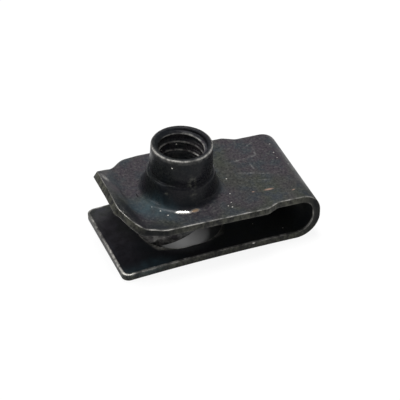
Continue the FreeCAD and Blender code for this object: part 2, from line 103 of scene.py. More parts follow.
# The arch, the fold in three steps, the upper leg, the lip's bend and the lip
steps = [
    (arch_radius * (slope_up + slope_down), -(slope_up + slope_down)),
    (FOLD_RADIUS * (math.pi / 2 + slope_down), math.pi / 2 + slope_down),
    (FOLD_STRAIGHT, 0.0),
    (FOLD_TOP_RADIUS * (math.pi / 2 - LEG_LEAN), math.pi / 2 - LEG_LEAN),
    (leg_length, 0.0),
    (LIP_RADIUS * (LIP_ANGLE - LEG_LEAN), -(LIP_ANGLE - LEG_LEAN)),
    (LIP_LENGTH, 0.0),
]
side, strip_length = walked_path((-LOWER_REACH, 0.0), slope_up, steps)
fold_start, fold_end, lip_start = side[1, 0], side[4, 0], side[5, 0]
# Height of the upper leg's outer face, along the barrel's leaning axis
leg_top = side[4, 1] * math.sin(LEG_LEAN) + side[4, 2] * math.cos(LEG_LEAN)
# How far along the strip the barrel's axis and the middle of the lower hole are
barrel_at = fold_end + side[4, 1] * math.cos(LEG_LEAN) - side[4, 2] * math.sin(LEG_LEAN)
HOLE_MIDDLE = 0.2
hole_at = LOWER_REACH + HOLE_MIDDLE


def beside_path(path, run, depth):
    """x and z of a point so far along a walked path and so deep on its left side.

    Along an arc the point turns about the arc's centre, along a line it goes
    straight on, and the depth is measured square to the path.
    """
    leg = np.clip(np.searchsorted(path[:, 0], run, side="right") - 1, 0, len(path) - 1)
    gone, x, z, heading, curve = (path[leg, column] for column in range(5))
    past = run - gone
    turn = heading + curve * past
    bent = np.abs(curve) > STRAIGHT
    safe = np.where(bent, curve, 1.0)
    x = x + np.where(bent, (np.sin(turn) - np.sin(heading)) / safe, past * np.cos(heading))
    z = z + np.where(bent, (np.cos(heading) - np.cos(turn)) / safe, past * np.sin(heading))
    return x - np.sin(turn) * depth, z + np.cos(turn) * depth


def on_strip(run, y, depth):
    """A point of the strip from how far along it is, how far across, and how deep in the sheet.

    The run along the strip's outer side and the depth square to it give x and z.
    The lower leg's end is cut upright.
    """
    run, y, depth = np.broadcast_arrays(run, y, depth)
    x, z = beside_path(side, run, depth)
    return np.stack([np.maximum(x, -LOWER_REACH), y, z], axis=-1)


def run_at(x):
    """How far along the strip a point of the straight upper leg is, from its x."""
    return fold_end + (side[4, 1] - x) / math.cos(LEG_LEAN)


# Half width of the flat blank: lower leg and fold, the step out to the wider
# upper leg, the shoulder and the taper of the nose
STEP_FROM = 10.9
STEP_TO = 9.3
SHOULDER_X = -4.9
TAPER_LENGTH = 4.6
LIP_CORNER = 1.75  # how far down the taper the lip's corner is
LIP_CORNER_PAST = 0.5  # and how far into the lip's bend
lip_half = EAR_HALF - (EAR_HALF - NOSE_HALF) * LIP_CORNER / TAPER_LENGTH
outline = np.array([
    (0.0, LOWER_HALF),
    (run_at(STEP_FROM), LOWER_HALF),
    (run_at(STEP_TO), EAR_HALF),
    (run_at(SHOULDER_X), EAR_HALF),
    (lip_start + LIP_CORNER_PAST, lip_half),
    (strip_length, NOSE_HALF),
])
outline_rounds = (1.2, 1.2, 2.2, 4.0)


def half_width(run):
    """The blank's half width: straight sides, with an arc tangent to both at each corner."""
    y = np.interp(run, outline[:, 0], outline[:, 1])
    for corner, radius in zip(range(1, len(outline) - 1), outline_rounds):
        before, here, after = outline[corner - 1:corner + 2]
        first = (here - before) / np.hypot(*(here - before))
        second = (after - here) / np.hypot(*(after - here))
        bend = math.atan2(second[1], second[0]) - math.atan2(first[1], first[0])
        reach = radius * math.tan(abs(bend) / 2)
        start, end = here - first * reach, here + second * reach
        sign = math.copysign(1, bend)
        centre = start + sign * radius * np.array([-first[1], first[0]])
        arc = centre[1] - sign * np.sqrt(np.maximum(radius ** 2 - (run - centre[0]) ** 2, 0))
        y = np.where((run > start[0]) & (run < end[0]), arc, y)
    return y


# Rows along the strip and columns across it. Round the barrel and the hole they
# are spaced by equal angles, so that a ring of faces fits into the gap.
RING_CELLS = 56
ZONE = 5.95
EAR_CELLS = 6
FOLD_ROWS = 54
TOE_ROUND = 1.0
NOSE_ROUND = 0.4
zone_steps = ZONE * np.tan(np.linspace(-math.pi / 4, math.pi / 4, RING_CELLS + 1))


def between(start, end, step):
    """Evenly spaced values strictly between two ends."""
    return np.linspace(start, end, max(2, int(round(abs(end - start) / step)) + 1))[1:-1]


middle_runs = np.concatenate([
    between(TOE_ROUND, hole_at - ZONE, step=0.4),
    hole_at + zone_steps,
    between(hole_at + ZONE, fold_start, step=0.5),
    np.linspace(fold_start, fold_end, FOLD_ROWS),
    between(fold_end, barrel_at - ZONE, step=0.25),
    barrel_at + zone_steps,
    between(barrel_at + ZONE, strip_length - NOSE_ROUND, step=0.14),
])
# The border's slope, from its width a little before and a little after each row
PROBE = 0.01
NOSE_PROBE = 0.2
toe_turn = np.linspace(0, math.pi / 2, 9)
narrowing = half_width(strip_length - PROBE) - half_width(strip_length - NOSE_PROBE)
nose_slope = math.atan2(narrowing, NOSE_PROBE - PROBE)
nose_turn = np.linspace(math.pi / 2 - nose_slope, math.pi, 7) - math.pi / 2
slope = (half_width(middle_runs + PROBE) - half_width(middle_runs - PROBE)) / (2 * PROBE)
steep = np.hypot(slope, 1)
# The nose's corner arc touches the tapered side and the lip's end
nose_run = strip_length - NOSE_ROUND
nose_y = half_width(nose_run) - NOSE_ROUND * math.hypot(math.tan(nose_slope), 1)
toe_run = TOE_ROUND * (1 - np.cos(toe_turn))
toe_y = LOWER_HALF - TOE_ROUND * (1 - np.sin(toe_turn))
corner_run = nose_run + NOSE_ROUND * np.sin(nose_turn)
corner_y = nose_y + NOSE_ROUND * np.cos(nose_turn)
border = np.concatenate([
    np.stack([toe_run, toe_y], 1),
    np.stack([middle_runs, half_width(middle_runs)], 1),
    np.stack([corner_run, corner_y], 1),
])
border_normal = np.concatenate([
    np.stack([-np.cos(toe_turn), np.sin(toe_turn)], 1),
    np.stack([-slope / steep, 1 / steep], 1),
    np.stack([np.sin(nose_turn), np.cos(nose_turn)], 1),
])
# Rows of the side that come too close to the corner's arc are left out
CLEAR_OF_CORNER = 0.02
before_nose = border[:, 0] < corner_run[0] - CLEAR_OF_CORNER
kept_rows = before_nose | (np.arange(len(border)) >= len(border) - len(nose_turn))
border, border_normal = border[kept_rows], border_normal[kept_rows]

zone_share = zone_steps / (EAR_HALF - EDGE_ROLL)
ear_share = np.linspace(zone_share[-1], 1, EAR_CELLS + 1)[1:]
share = np.concatenate([-ear_share[::-1], zone_share, ear_share])
barrel_row = int(np.argmin(np.abs(border[:, 0] - (barrel_at - ZONE))))
hole_row = int(np.argmin(np.abs(border[:, 0] - (hole_at - ZONE))))

# Patches of the one steel piece, welded at the end
patches = []


def add_patch(points, wear=0.0, closed=False, keep=None, drawn=0.0, cut=0.0):
    """Keeps a grid of points as faces between neighbouring rows and columns.

    A closed patch joins its last column to its first. keep says which cells stay.
    wear is how rubbed each point is, drawn how far the sheet was stretched there,
    and cut is 1 on the wall that the shears left.
    """
    rows, columns = points.shape[:2]
    index = np.arange(rows * columns).reshape(rows, columns)
    if closed:
        index = np.concatenate([index, index[:, :1]], axis=1)
    cells = np.stack([index[:-1, :-1], index[:-1, 1:], index[1:, 1:], index[1:, :-1]], axis=-1)
    if keep is not None:
        cells = cells[keep]
    marks = [np.broadcast_to(mark, (rows, columns)).reshape(-1) for mark in (wear, drawn, cut)]
    patches.append((points.reshape(-1, 3), cells.reshape(-1, 4), np.stack(marks, 1)))


def inset(amount):
    """The border moved inwards along its normal, on its right and left side, as run and y."""
    right = border - border_normal * amount
    return right, right * np.array([1, -1])


def leg_face(depth, amount):
    """One face of the strip: rows of points spread by the same shares of the width.

    The cells round the barrel and round the hole are left out. Gives the grid's
    run and y, for the rings of faces that fill them.
    """
    right, left = inset(amount)
    middle, half = (right + left) / 2, (right - left) / 2
    run = middle[:, :1] + 0 * share
    y = half[:, 1:] * share
    keep = np.ones((len(border) - 1, len(share) - 1), bool)
    for first in (hole_row, barrel_row):
        keep[first:first + RING_CELLS, EAR_CELLS:EAR_CELLS + RING_CELLS] = False
    add_patch(on_strip(run, y, depth), keep=keep)
    return run, y


def gap_border(grid, first, towards):
    """The points round a gap of the face, counterclockwise in plan from its corner at 225 degrees.

    towards is 1 where the strip runs to +X and -1 where it runs back.
    """
    last = first + RING_CELLS
    one, other = EAR_CELLS, EAR_CELLS + RING_CELLS
    near, far = (first, last) if towards > 0 else (last, first)
    lane = np.arange(RING_CELLS)
    still = np.zeros(RING_CELLS, int)
    rows = np.concatenate([near + towards * lane, still + far, far - towards * lane, still + near])
    columns = np.concatenate([still + one, one + lane, still + other, other - lane])
    return grid[rows, columns]


ring_angle = -0.75 * math.pi + np.arange(4 * RING_CELLS) * (math.pi / 2 / RING_CELLS)
outer_run, outer_y = leg_face(0.0, EDGE_ROLL)
inner_run, inner_y = leg_face(SHEET, ROLL_ACROSS)


def edge_band():
    """The cut edge all round the blank: a roll, a wall and a wider, shallower roll.

    The profile is a quarter of a circle, a line and a quarter of an ellipse, and
    it is carried round the border by stepping back along the border's normal.
    """
    right = np.concatenate([border, border_normal], 1)
    left = right * np.array([1, -1, 1, -1])
    one, none = np.ones_like(share), np.zeros_like(share)
    lip_edge = np.stack([one * right[-1, 0], share * right[-1, 1], one, none], 1)[::-1][1:-1]
    toe_edge = np.stack([one * right[0, 0], share * right[0, 1], -one, none], 1)[1:-1]
    loop = np.concatenate([right, lip_edge, left[::-1], toe_edge])
    wall_depths = [0.35, 0.65]
    quarter = np.linspace(0, math.pi / 2, 6)
    wide = np.linspace(0, math.pi / 2, 7)
    back = np.concatenate([
        EDGE_ROLL * (1 - np.sin(quarter)),
        np.zeros(len(wall_depths)),
        ROLL_ACROSS * (1 - np.cos(wide)),
    ])
    down = np.concatenate([
        EDGE_ROLL * (1 - np.cos(quarter)),
        wall_depths,
        SHEET - ROLL_DEPTH * (1 - np.sin(wide)),
    ])
    # One share for each line of the profile: the roll, the wall, the wider roll
    worn = np.array([0.1, 0.7, 1, 0.8, 0.3, 0, 0, 0, 0.1, 0.4, 0.9, 1, 0.9, 0.5, 0])
    sheared = np.array([0, 0, 0.1, 0.5, 0.9, 1, 1, 1, 1, 0.9, 0.7, 0.4, 0.2, 0.1, 0])
    run = loop[:, 0] - loop[:, 2] * back[:, None]
    y = loop[:, 1] - loop[:, 3] * back[:, None]
    add_patch(on_strip(run, y, down[:, None]), worn[:, None], closed=True, cut=sheared[:, None])


edge_band()

# The barrel. It is drawn up out of the upper leg in the same press, so its wall
# flares into the leg from inside and outside. A thread is tapped into it.
BORE = 3.28
RIM_RADIUS = 3.93
BARREL_RADIUS = 4.06
COLLAR_RADIUS = 4.3
FOOT_RADIUS = 4.98
FLARE_RADIUS = 4.125
GROOVE_DEPTH = 0.14
GROOVE_LENGTH = 0.8
COLLAR_CHAMFER = 0.15
MOUTH_RADIUS = 3.42
FOOT_FILLET = 1.15
NECK_FILLET = 0.15
RIM_FILLET = 0.22
FLARE_FILLET = 0.5
BARREL_RISE = 6.79
COLLAR_RISE = 2.95
THREAD_RISE = 2.23
barrel_height = leg_top + BARREL_RISE
collar_height = leg_top + COLLAR_RISE
thread_end = leg_top + THREAD_RISE
PITCH = 1.27
CREST_RADIUS = 2.82
CREST_FLAT = 0.14
CREST_HEIGHT = 11.83
FLANK = math.radians(60)
THREAD_SOFTENING = 0.05
RUNOUT = 0.7
COUNTERSINK = 0.9
THREAD_ROWS = 98


def corner_arc(corner, before, after, radius, count):
    """An arc tangent to the two lines that meet in a corner, from one to the other."""
    corner, before, after = (np.array(p, float) for p in (corner, before, after))
    one = (before - corner) / np.hypot(*(before - corner))
    two = (after - corner) / np.hypot(*(after - corner))
    half = math.acos(float(np.clip(one @ two, -1, 1))) / 2
    bisector = (one + two) / np.hypot(*(one + two))
    centre = corner + bisector * radius / math.sin(half)
    start = corner + one * radius / math.tan(half) - centre
    end = corner + two * radius / math.tan(half) - centre
    turn = math.atan2(start[0] * end[1] - start[1] * end[0], start @ end)
    angle = math.atan2(start[1], start[0]) + np.linspace(0, turn, count)
    return centre + radius * np.stack([np.cos(angle), np.sin(angle)], 1)


def line(start, end, count):
    """Points on a straight line, without its ends."""
    part = np.linspace(0, 1, count + 2)[1:-1, None]
    return np.array(start) + (np.array(end) - np.array(start)) * part


def thread_radius(height, angle):
    """Radius of the bore: a helix of crests that climbs one pitch a turn, right-handed.

    From the middle of a crest the radius grows at 60 degrees to the axis until
    it meets the bore, with both bends softened by a hyperbola. A countersink
    cuts the first crests, and the thread runs out towards its lower end.
    """
    climb = (height - CREST_HEIGHT) / PITCH - angle / (2 * math.pi)
    off = np.abs(climb - np.round(climb)) * PITCH
    ease = 0.5 * (off - CREST_FLAT / 2 + np.hypot(off - CREST_FLAT / 2, THREAD_SOFTENING))
    cut = CREST_RADIUS + math.tan(FLANK) * ease
    cut = 0.5 * (cut + BORE - np.sqrt((cut - BORE) ** 2 + THREAD_SOFTENING ** 2))
    runout = np.clip((height - thread_end) / RUNOUT, 0, 1)
    cut = BORE - (BORE - cut) * runout
    countersink = MOUTH_RADIUS - COUNTERSINK * (barrel_height - height)
    return np.maximum(cut, countersink)


# The barrel's profile from its foot over the collar and the rim to the flare
# inside. Points on the leg's faces only give a fillet its direction.
OUT_ON_LEG = 2.0
under = leg_top - SHEET
collar_edge = (COLLAR_RADIUS, collar_height - COLLAR_CHAMFER)
neck = (BARREL_RADIUS - GROOVE_DEPTH, collar_height)
groove_top = (BARREL_RADIUS, collar_height + GROOVE_LENGTH)
rim_outer = (RIM_RADIUS, barrel_height)
rim_inner = (MOUTH_RADIUS, barrel_height)
thread_foot = (BORE, thread_end)
foot = (FOOT_RADIUS, leg_top)
flare = (FLARE_RADIUS, under)
foot_outwards = (FOOT_RADIUS + OUT_ON_LEG, leg_top)
flare_outwards = (FLARE_RADIUS + OUT_ON_LEG, under)
foot_fillet = corner_arc(foot, foot_outwards, collar_edge, FOOT_FILLET, 13)
neck_fillet = corner_arc(neck, collar_edge, groove_top, NECK_FILLET, 6)
rim_round = corner_arc(rim_outer, groove_top, rim_inner, RIM_FILLET, 7)
outside = np.concatenate([
    foot_fillet,
    line(foot_fillet[-1], collar_edge, 6),
    [collar_edge],
    neck_fillet,
    line(neck_fillet[-1], groove_top, 3),
    [groove_top],
    line(groove_top, rim_round[0], 5),
    rim_round,
    line(rim_round[-1], rim_inner, 2),
])
# The rim's round, in the last rows, is rubbed bright
outside_worn = np.zeros(len(outside))
outside_worn[-10:] = [0.0, 0.3, 1.0, 1.5, 1.4, 0.9, 0.4, 0.1, 0.0, 0.0]
thread_heights = np.linspace(barrel_height, thread_end, THREAD_ROWS)
flare_fillet = corner_arc(flare, thread_foot, flare_outwards, FLARE_FILLET, 7)
inside = np.concatenate([line(thread_foot, flare_fillet[0], 6), flare_fillet])


def about_barrel(radius, height, angle):
    """Points round the barrel's leaning axis from radius, height and angle.

    They lie so far out at the angle and so high along the axis, turned by the
    upper leg's lean.
    """
    radius, height, angle = np.broadcast_arrays(radius, height, angle)
    out = radius * np.cos(angle)
    x = out * math.cos(LEG_LEAN) + height * math.sin(LEG_LEAN)
    z = height * math.cos(LEG_LEAN) - out * math.sin(LEG_LEAN)
    return np.stack([x, radius * np.sin(angle), z], axis=-1)


def ring_fill(points, circle, count):
    """Rings of faces between the border of a gap and the circle in it, by straight steps."""
    part = np.linspace(0, 1, count)[:, None, None]
    add_patch(points * (1 - part) + circle * part, closed=True)


thread = thread_radius(thread_heights[:, None], ring_angle)
tube_radius = np.concatenate([
    outside[:, :1] + 0 * ring_angle,
    thread,
    inside[:, :1] + 0 * ring_angle,
])
tube_height = np.concatenate([outside[:, 1], thread_heights, inside[:, 1]])[:, None]
# Screws rub the crests bright, up to this radius
CREST_WORN_TO = 3.0
CREST_WORN_FADE = 0.14
crest_worn = np.clip((CREST_WORN_TO - thread) / CREST_WORN_FADE, 0, 1)
tube_worn = np.concatenate([
    outside_worn[:, None] + 0 * ring_angle,
    crest_worn,
    np.zeros((len(inside), len(ring_angle))),
])
# The sheet is stretched from just outside the foot, and less so where it is tapped
STRETCH_MARGIN = 0.95
MOUTH_ROWS = 14
TAPPED_SHARE = 0.45
stretched = np.clip(FOOT_RADIUS + STRETCH_MARGIN - tube_radius, 0, 1)
stretched[len(outside) + MOUTH_ROWS:] *= TAPPED_SHARE
tube = about_barrel(tube_radius, tube_height, ring_angle)
add_patch(tube, tube_worn, closed=True, drawn=stretched)


def gap_on_strip(face, row, towards, depth):
    """The border of a gap of one face, as points of the strip at that face's depth."""
    run, y = (gap_border(grid, row, towards) for grid in face)
    return on_strip(run, y, depth)


outer_face, inner_face = (outer_run, outer_y), (inner_run, inner_y)
top_gap = gap_on_strip(outer_face, barrel_row, -1, 0.0)
ring_fill(top_gap, about_barrel(outside[0, 0], leg_top, ring_angle), 4)
under_gap = gap_on_strip(inner_face, barrel_row, -1, SHEET)
ring_fill(under_gap, about_barrel(inside[-1, 0], under, ring_angle), 7)

# The hole of the lower leg. It is pierced when the ring is lanced out of the
# leg, and is a circle stretched a little along the leg.
HOLE_RADIUS = 4.85
HOLE_SHIFT = 0.7
HOLE_BREAK = 0.12


def stretched_circle(radius, angle):
    """Distance from the middle to two half circles set apart and the straights between them.

    Where the ray meets a straight it is the radius divided by the sine, and
    elsewhere it ends on the nearer half circle.
    """
    sine, cosine = np.abs(np.sin(angle)), np.abs(np.cos(angle))
    flat = radius * cosine <= HOLE_SHIFT * sine
    rounded = HOLE_SHIFT * cosine + np.sqrt(radius ** 2 - (HOLE_SHIFT * sine) ** 2)
    return np.where(flat, radius / np.maximum(sine, 1e-9), rounded)


turned = np.linspace(0, math.pi / 2, 5)
hole_back = HOLE_BREAK * np.concatenate([1 - np.sin(turned), 1 - np.cos(turned)])
hole_depth = np.concatenate([
    HOLE_BREAK * (1 - np.cos(turned)),
    SHEET - HOLE_BREAK * (1 - np.sin(turned)),
])
wall_reach = stretched_circle(HOLE_RADIUS + hole_back[:, None], ring_angle)
wall_run = hole_at + wall_reach * np.cos(ring_angle)
wall_y = wall_reach * np.sin(ring_angle)
hole_wall = on_strip(wall_run, wall_y, hole_depth[:, None])
hole_worn = np.array([0.3, 0.6, 0.6, 0.4, 0.1, 0.1, 0.4, 0.6, 0.6, 0.3])[:, None]
add_patch(hole_wall, hole_worn, closed=True, cut=1.0)
ring_fill(gap_on_strip(outer_face, hole_row, 1, 0.0), hole_wall[0], 4)
ring_fill(gap_on_strip(inner_face, hole_row, 1, SHEET), hole_wall[-1], 4)

# The snap ring. It is lanced out of the lower leg, hangs on it by one neck and
# is bent up, so that it springs into the hole of a panel.
RING_BORE = 3.5
RING_RADIUS = 4.35
RING_SHEET = 0.9
NECK_HALF = 2.3
NECK_ROOT = 5.7
RING_HINGE = 4.2
RING_BASE = 0.22
RING_SLOPE = math.radians(38.5)
RING_BEND = 1.28
RING_RAMP = 0.2
RING_CROWN = 16.4
RING_LEAD = 0.2
RING_ROLL = 0.12
RING_WORN = 0.2
ring_path, ring_run = walked_path((-NECK_ROOT - RING_LEAD, RING_BASE), 0.0, [
    (NECK_ROOT + RING_LEAD - RING_HINGE, 0.0),
    (RING_BEND * RING_SLOPE, RING_SLOPE),
    (RING_RAMP, 0.0),
    (RING_CROWN * RING_SLOPE, -RING_SLOPE),
])


def ring_height(x, depth):
    """Height of the bent ring at x, at one depth of its sheet from the underside.

    The ring's side view is traced as a fine line at that depth, and the height
    is read off it at x.
    """
    trace = np.linspace(0, ring_run, 400)
    return np.interp(x, *beside_path(ring_path, trace, depth))


def snap_ring():
    """The ring as one closed band: rays from its middle, between its bore and its outline.

    The outline is a circle, and towards the leg it is pushed out to the straight
    sides and the end of the neck. Round each ray runs the sheet's section, with
    its four edges rolled.
    """
    corner = math.atan2(NECK_HALF, NECK_ROOT)
    join = math.asin(NECK_HALF / RING_RADIUS)
    back = np.concatenate([np.linspace(0, corner, 14), np.linspace(corner, join, 10)[1:]])
    free = np.linspace(math.pi - join, -math.pi + join, 150)[1:-1]
    angle = np.concatenate([math.pi - back, free, (-math.pi + back)[::-1][:-1]])
    end = NECK_ROOT / np.maximum(-np.cos(angle), 1e-3)
    flank = NECK_HALF / np.maximum(np.abs(np.sin(angle)), 1e-3)
    towards_leg = np.cos(angle) < -math.cos(join) - 1e-9
    outer = np.where(towards_leg, np.minimum(end, flank), RING_RADIUS)
    arc = np.linspace(0, math.pi / 2, 4)
    from_wall, from_face = RING_ROLL * (1 - np.cos(arc)), RING_ROLL * (1 - np.sin(arc))
    part = np.linspace(0, 1, 7)[1:-1]
    level = np.full(len(part), RING_ROLL)
    # Up the section from the bore's lower corner: under the ring, its rim, over it, its bore
    outwards = np.concatenate([np.zeros(4), part, np.ones(8), part[::-1], np.zeros(4)])[:, None]
    one_face = np.concatenate([from_wall, level, from_wall[::-1]])
    inwards = np.concatenate([one_face, one_face])[:, None]
    low = np.concatenate([from_face, 0 * level, from_face[::-1]])
    depth = np.concatenate([low, RING_SHEET - low])
    radius = (1 - outwards) * (RING_BORE + inwards) + outwards * (outer - inwards)
    radius, depth = np.concatenate([radius, radius[:1]]), np.concatenate([depth, depth[:1]])
    x = radius * np.cos(angle)
    z = np.stack([ring_height(row, deep) for row, deep in zip(x, depth)])
    points = np.stack([x, radius * np.sin(angle), z], axis=-1)
    add_patch(points, RING_WORN, closed=True)


snap_ring()

# One piece of steel. Legs, barrel and ring are the same sheet, so the patches are
# welded where they meet, with the ring's neck let into the lower leg. They are
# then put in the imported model's frame, in metres.
MM = 0.001
MIDDLE_X = (FOLD_REACH - LOWER_REACH) / 2
WELD_DIGITS = 4
starts = np.cumsum([0] + [len(points) for points, _, _ in patches])
spots = np.concatenate([points for points, _, _ in patches])
cells = np.concatenate([quads + start for (_, quads, _), start in zip(patches, starts)])
marks = np.concatenate([marks for _, _, marks in patches])
rounded = np.round(spots, WELD_DIGITS)
_, first, same = np.unique(rounded, axis=0, return_index=True, return_inverse=True)
same = same.reshape(-1)
kept_marks = np.zeros((len(first), marks.shape[1]))
np.maximum.at(kept_marks, same, marks)
spots, cells = spots[first], same[cells]


def smooth(value):
    """Runs smoothly from 0 to 1: three times the square less twice the cube."""
    value = np.clip(value, 0, 1)
    return value * value * (3 - 2 * value)


# Unevenness of the real pressing: how much, from which x, and over what length
NOSE_BOW, BOW_FROM, BOW_LENGTH, BOW_LEAN = 1.3, -4.3, 5.2, 2.2
SHOULDER_CUT, CUT_FROM, CUT_LENGTH = 0.2, -2.6, 5.0
LIP_SHIFT, SHIFT_FROM, SHIFT_LENGTH = 0.12, -6.6, 2.9
NOSE_SLOPE = 0.854
UPPER_LEG_FROM = 4.6


def as_pressed(points):
    """The small unevenness of the real pressing, added to the drawn shape.

    The front taper of the nose is bowed outwards by half a sine wave that leans
    forwards, its back shoulder is cut a little shorter, and its free end sits a
    little to the back and to the right.
    """
    x, y, z = points.T.copy()
    upper = z > UPPER_LEG_FROM
    local_half = EAR_HALF - NOSE_SLOPE * np.clip(SHOULDER_X - x, 0, TAPER_LENGTH)
    front = np.clip(-y / local_half, 0, 1) ** 2
    rear = np.clip(y / local_half, 0, 1) ** 3
    bow = np.sin(math.pi * np.clip((BOW_FROM - x) / BOW_LENGTH, 0, 1) ** BOW_LEAN) * upper
    shoulder = np.sin(math.pi * np.clip((CUT_FROM - x) / CUT_LENGTH, 0, 1)) * upper
    lip = smooth((SHIFT_FROM - x) / SHIFT_LENGTH) * upper
    y = y + LIP_SHIFT * lip - NOSE_BOW * bow * front - SHOULDER_CUT * shoulder * rear
    y = np.clip(y, -EAR_HALF, EAR_HALF)
    return np.stack([x + LIP_SHIFT * lip * (1 - smooth(-y / 4)), y, z], 1)


spots = as_pressed(spots)
spots = (spots - [MIDDLE_X, 0, 0]) * MM

mesh = bpy.data.meshes.new("folded_nut")
mesh.from_pydata(spots.tolist(), [], cells.tolist())
# The lower leg's front corner is rubbed most, and the lip's end keeps its film
x, y, z = (spots / MM).T
low_front = smooth((-2 - x) / 9) * (z < 2) * (y < 0)
lip_end = smooth((-12.2 - x) / 0.6) * smooth((y + 4) / 1.5) * (z > 4)
kept_marks[:, 0] *= (0.7 + 1.6 * low_front) * (1 - 0.6 * lip_end)
for name, mark in zip(("edge_wear", "drawn", "cut"), kept_marks.T):
    mesh.attributes.new(name, "FLOAT", "POINT").data.foreach_set("value", mark.astype(np.float32))
shell = bmesh.new()
shell.from_mesh(mesh)
loose = [vertex for vertex in shell.verts if not vertex.link_faces]
bmesh.ops.delete(shell, geom=loose, context="VERTS")
bmesh.ops.dissolve_degenerate(shell, dist=1e-7, edges=shell.edges)
bmesh.ops.recalc_face_normals(shell, faces=shell.faces)
shell.to_mesh(mesh)
shell.free()
mesh.polygons.foreach_set("use_smooth", np.ones(len(mesh.polygons), bool))
mesh.update()
nut = bpy.data.objects.new("folded_nut", mesh)
bpy.context.collection.objects.link(nut)
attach(nut, "root")
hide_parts("clip_nut")

# The finish. The folded and hardened piece is blackened in a hot oxide bath and
# oiled: a thin dark film with blue, purple and olive tints, rubbed through to
# bright steel on the edges and nicked where the pieces are tumbled together.
# Shade, sheen and highlights are also painted into its colour in places.
steel = bpy.data.materials.new("black_oxide")
steel.use_nodes = True
tree = steel.node_tree
tree.nodes.clear()


def step(kind, inputs=(), **settings):
    """Adds one node to the tree. inputs gives each socket a value or another node's output."""
    made = tree.nodes.new(kind)
    for name, value in settings.items():
        setattr(made, name, value)
    for name, value in dict(inputs).items():
        if isinstance(value, bpy.types.NodeSocket):
            tree.links.new(value, made.inputs[name])
        else:
            made.inputs[name].default_value = value
    return made


def calc(operation, one, other=0.0, third=0.0, clamp=False):
    """Arithmetic on two or three numbers."""
    numbers = {0: one, 1: other, 2: third}
    return step("ShaderNodeMath", numbers, operation=operation, use_clamp=clamp).outputs[0]


def fade(value, low, high, start=0.0, end=1.0):
    """Runs smoothly from start to end while the value goes from low to high."""
    ranged = step(
        "ShaderNodeMapRange",
        {"Value": value, "From Min": low, "From Max": high, "To Min": start, "To Max": end},
        interpolation_type="SMOOTHSTEP",
    )
    return ranged.outputs["Result"]


def tinted(share, one, other):
    """One colour over another by a share from 0 to 1."""
    mixed = step("ShaderNodeMix", {0: share, 6: one, 7: other}, data_type="RGBA")
    return mixed.outputs[2]


place = step("ShaderNodeTexCoord").outputs["Object"]


def cloud(per_mm, stretch=(1, 1, 1), detail=4.0, rough=0.55):
    """Noise with so many features to a millimetre, stretched along the axes."""
    scaled = step("ShaderNodeVectorMath", {0: place, 1: stretch}, operation="MULTIPLY").outputs[0]
    noise = step("ShaderNodeTexNoise", {
        "Vector": scaled,
        "Scale": per_mm / MM,
        "Detail": detail,
        "Roughness": rough,
    })
    return noise.outputs["Fac"]


edge = step("ShaderNodeAttribute", attribute_name="edge_wear").outputs["Fac"]
drawn = step("ShaderNodeAttribute", attribute_name="drawn").outputs["Fac"]
cut = step("ShaderNodeAttribute", attribute_name="cut").outputs["Fac"]
broad, patchy, grain = cloud(0.12, detail=2.0), cloud(0.45), cloud(4.0, detail=6.0, rough=0.7)
BLUE_BLACK = (0.027, 0.032, 0.038, 1)
PURPLE_BLACK = (0.038, 0.032, 0.038, 1)
OLIVE_BLACK = (0.036, 0.039, 0.031, 1)
DEEP_BLACK = (0.004, 0.005, 0.007, 1)
SPECKLE_GREY = (0.095, 0.098, 0.088, 1)
SHEAR_BLACK = (0.006, 0.006, 0.006, 1)
SHEAR_OLIVE = (0.066, 0.066, 0.049, 1)
SHEEN_BLUE = (0.030, 0.053, 0.064, 1)
TOE_REFLECTION_GREY = (0.060, 0.054, 0.066, 1)
SCRATCH_GREY = (0.18, 0.18, 0.175, 1)
BARREL_HIGHLIGHT_GREY = (0.18, 0.18, 0.15, 1)
RUST = (0.34, 0.22, 0.17, 1)
STEEL_AND_HIGHLIGHT_GREY = (0.60, 0.58, 0.54, 1)
GLARE_BEIGE = (0.60, 0.40, 0.24, 1)
film = tinted(fade(broad, 0.40, 0.60), PURPLE_BLACK, OLIVE_BLACK)
film = tinted(fade(patchy, 0.45, 0.68), film, BLUE_BLACK)
# Painted shade towards the nose's front and on the lower leg under the upper leg; darker on the lip
# too
FRONTWARDS = (-0.35, -0.94, 0.0)
ahead = step("ShaderNodeVectorMath", {0: place, 1: FRONTWARDS}, operation="DOT_PRODUCT")
parts_of_place = step("ShaderNodeSeparateXYZ", {0: place})
place_x, place_z = parts_of_place.outputs["X"], parts_of_place.outputs["Z"]
lip_darkened = calc(
    "MULTIPLY",
    fade(place_x, -12.6 * MM, -11.2 * MM, 1.0, 0.0),
    fade(place_z, 4 * MM, 5 * MM),
)
film = tinted(fade(ahead.outputs["Value"], 2 * MM, 9 * MM, 0.0, 0.42), film, DEEP_BLACK)
# Painted shade on the lower leg, which lies under the upper leg
film = tinted(fade(place_z, 1.6 * MM, 3 * MM, 0.6, 0.0), film, DEEP_BLACK)
film = tinted(calc("MULTIPLY", lip_darkened, 0.62), film, DEEP_BLACK)
# Where the sheet was stretched it is darker and smoother
deep = fade(drawn, 0.4, 0.9)
film = tinted(calc("MULTIPLY", deep, fade(grain, 0.3, 0.7, 0.95, 0.7)), film, DEEP_BLACK)
# Fine mottling, black and grey, and less of it on the lower leg
pits = calc("MULTIPLY", fade(grain, 0.36, 0.56, 0.6, 0.0), fade(deep, 0, 1, 1.0, 0.4))
film = tinted(pits, film, DEEP_BLACK)
speckle = fade(cloud(3.0, detail=4.0, rough=0.65), 0.46, 0.72, 0.0, 0.42)
speckle = calc("MULTIPLY", speckle, fade(deep, 0, 1, 1.0, 0.25))
speckle = calc("MULTIPLY", speckle, fade(place_z, 2 * MM, 5 * MM, 0.12, 1.0))
film = tinted(speckle, film, SPECKLE_GREY)
# The sheared wall is mottled olive, streaked through the sheet as it was cut
shear = cloud(1.6, (1, 1, 0.5), detail=6.0, rough=0.75)
sheared = tinted(fade(shear, 0.38, 0.64), SHEAR_BLACK, SHEAR_OLIVE)
film = tinted(calc("MULTIPLY", cut, 0.85), film, sheared)
